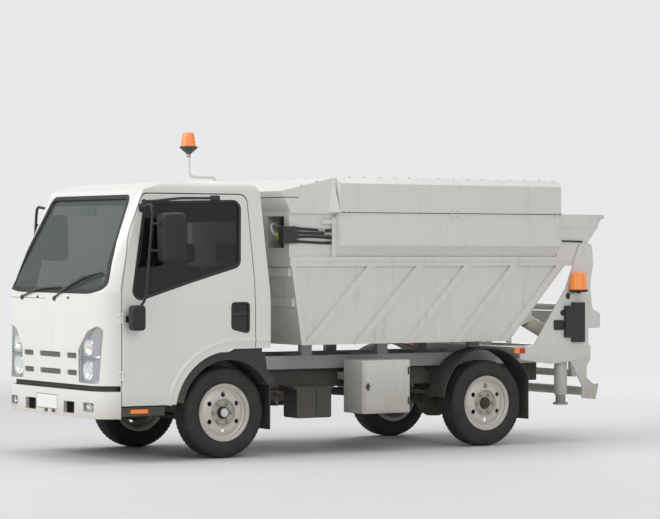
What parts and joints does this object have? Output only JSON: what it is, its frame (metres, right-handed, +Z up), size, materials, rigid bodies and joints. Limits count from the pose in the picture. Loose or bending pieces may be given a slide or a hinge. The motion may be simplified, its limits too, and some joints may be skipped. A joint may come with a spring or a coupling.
{
  "type": "garbage truck",
  "caption": "Narrow cab-over garbage truck with a tipping ribbed tub, covered hopper, bin lifter, tilting cab, opening doors and steered wheels.",
  "frame": {"origin": "on the ground under the middle of the overall length and width", "axes": "+X forward, +Y to the vehicle's left, +Z up"},
  "size_m": [4.802, 2.06, 2.5109],
  "materials": {
    "white_paint": "semi-gloss off-white",
    "grey_paint": "satin light grey",
    "chassis_paint": "satin near-black",
    "engine_iron": "rough",
    "exhaust_steel": "dulled",
    "black_plastic": "grained black",
    "dash_plastic": "grained grey",
    "seat_cloth": "woven grey-blue",
    "hose_rubber": "smooth black",
    "tyre_rubber": "dusty black",
    "rim_silver": "silver grey",
    "clear_glass": "clear, slightly green",
    "lamp_clear": "clear lens over silver",
    "lamp_red": "red lens",
    "lamp_amber": "amber lens",
    "cylinder_paint": "satin beige",
    "stage_steel": "ground",
    "rod_chrome": "polished"
  },
  "bodies": {
    "chassis": {"chassis_frame": "chassis_paint", "subframe": "grey_paint", "front_axle": "chassis_paint", "rear_axle": "chassis_paint", "engine_block": "engine_iron", "exhaust": "exhaust_steel", "fuel_tank": "black_plastic", "battery_box": "black_plastic", "side_cabinet": "white_paint", "mudguards": "black_plastic", "rear_frame": "white_paint", "tail_lamps": "lamp_red", "rear_beacons": "lamp_amber", "lifter_housings": "black_plastic"},
    "knuckle_left_body": {"knuckle_left": "chassis_paint"},
    "knuckle_right_body": {"knuckle_right": "chassis_paint"},
    "tie_rod_body": {"tie_rod": "chassis_paint"},
    "wheel_front_left": {"tyre_front_left": "tyre_rubber", "rim_front_left": "rim_silver"},
    "wheel_front_right": {"tyre_front_right": "tyre_rubber", "rim_front_right": "rim_silver"},
    "wheel_rear_left": {"tyre_rear_left": "tyre_rubber", "rim_rear_left": "rim_silver"},
    "wheel_rear_right": {"tyre_rear_right": "tyre_rubber", "rim_rear_right": "rim_silver"},
    "cab": {"cab_floor": "white_paint", "cab_front_panel": "white_paint", "cab_back_panel": "white_paint", "cab_roof": "white_paint", "cab_glass": "clear_glass", "front_bumper": "white_paint", "cab_trim": "black_plastic", "headlamps": "lamp_clear", "dashboard": "dash_plastic", "seats": "seat_cloth", "roof_beacon": "lamp_amber"},
    "door_left_body": {"door_left": "white_paint", "door_glass_left": "clear_glass", "mirror_left": "black_plastic"},
    "door_right_body": {"door_right": "white_paint", "door_glass_right": "clear_glass", "mirror_right": "black_plastic"},
    "tub": {"tub_sides": "white_paint", "tub_trough": "white_paint", "body_rails": "white_paint", "front_hood": "white_paint", "cover": "white_paint", "hopper": "white_paint", "hydraulic_hoses": "hose_rubber"},
    "packer": {"packer_blade": "white_paint"},
    "lifter_body": {"lifter": "white_paint"},
    "stabilisers": {"stabiliser_legs": "chassis_paint"},
    "barrels": {"cylinder_barrels": "cylinder_paint"},
    "stages_outer": {"cylinder_stages_outer": "stage_steel"},
    "stages_inner": {"cylinder_stages_inner": "stage_steel"},
    "rods": {"cylinder_rods": "rod_chrome"}
  },
  "joints": [
    {"name": "steer_left", "type": "hinge", "parent": "chassis", "child": "knuckle_left_body", "pos_m": [1.289, 0.6, 0.352], "axis": [0, 0, 1], "range_deg": [-35, 35]},
    {"name": "steer_right", "type": "hinge", "parent": "chassis", "child": "knuckle_right_body", "pos_m": [1.289, -0.6, 0.352], "axis": [0, 0, 1], "range_deg": [-35, 35]},
    {"name": "tie_rod_turn", "type": "hinge", "parent": "knuckle_left_body", "child": "tie_rod_body", "pos_m": [1.159, 0.6, 0.262], "axis": [0, 0, 1], "range_deg": [-35, 35]},
    {"name": "spin_front_left", "type": "hinge", "parent": "knuckle_left_body", "child": "wheel_front_left", "pos_m": [1.289, 0.68, 0.352], "axis": [0, 1, 0], "continuous": true},
    {"name": "spin_front_right", "type": "hinge", "parent": "knuckle_right_body", "child": "wheel_front_right", "pos_m": [1.289, -0.68, 0.352], "axis": [0, 1, 0], "continuous": true},
    {"name": "spin_rear_left", "type": "hinge", "parent": "chassis", "child": "wheel_rear_left", "pos_m": [-1.201, 0.68, 0.352], "axis": [0, 1, 0], "continuous": true},
    {"name": "spin_rear_right", "type": "hinge", "parent": "chassis", "child": "wheel_rear_right", "pos_m": [-1.201, -0.68, 0.352], "axis": [0, 1, 0], "continuous": true},
    {"name": "cab_tilt", "type": "hinge", "parent": "chassis", "child": "cab", "pos_m": [2.239, 0, 0.5], "axis": [0, 1, 0], "range_deg": [0, 45]},
    {"name": "door_left_hinge", "type": "hinge", "parent": "cab", "child": "door_left_body", "pos_m": [2.223, 0.8515, 1], "axis": [0, 0, -1], "range_deg": [0, 70]},
    {"name": "door_right_hinge", "type": "hinge", "parent": "cab", "child": "door_right_body", "pos_m": [2.223, -0.8515, 1], "axis": [0, 0, 1], "range_deg": [0, 70]},
    {"name": "tub_tilt", "type": "hinge", "parent": "chassis", "child": "tub", "pos_m": [-2.191, 0, 1.585], "axis": [0, -1, 0], "range_deg": [0, 85]},
    {"name": "packer_swing", "type": "hinge", "parent": "tub", "child": "packer", "pos_m": [-1.731, 0, 1.8], "axis": [0, -1, 0], "range_deg": [0, 75]},
    {"name": "lifter_swing", "type": "hinge", "parent": "chassis", "child": "lifter_body", "pos_m": [-2.231, 0, 1.32], "axis": [0, -1, 0], "range_deg": [-140, 0]},
    {"name": "stabiliser_slide", "type": "slide", "parent": "chassis", "child": "stabilisers", "axis": [0, 0, -1], "range_m": [0, 0.29]},
    {"name": "cylinder_turn", "type": "hinge", "parent": "chassis", "child": "barrels", "pos_m": [-2.111, 0.55, 0.84], "axis": [0, -1, 0], "range_deg": [0, 41]},
    {"name": "stage_outer_slide", "type": "slide", "parent": "barrels", "child": "stages_outer", "axis": [0.8944, 0, 0.4472], "range_m": [0, 0.3]},
    {"name": "stage_inner_slide", "type": "slide", "parent": "stages_outer", "child": "stages_inner", "axis": [0.8944, 0, 0.4472], "range_m": [0, 0.3]},
    {"name": "rod_slide", "type": "slide", "parent": "stages_inner", "child": "rods", "axis": [0.8944, 0, 0.4472], "range_m": [0, 0.3]}
  ],
  "couplings": [
    {"joint": "steer_right", "follows": "steer_left", "ratio": 1},
    {"joint": "tie_rod_turn", "follows": "steer_left", "ratio": -1},
    {"joint": "cylinder_turn", "follows": "tub_tilt", "ratio": 0.467},
    {"joint": "stage_outer_slide", "follows": "tub_tilt", "m_per_rad": 0.1935},
    {"joint": "stage_inner_slide", "follows": "tub_tilt", "m_per_rad": 0.1935},
    {"joint": "rod_slide", "follows": "tub_tilt", "m_per_rad": 0.1935}
  ]
}
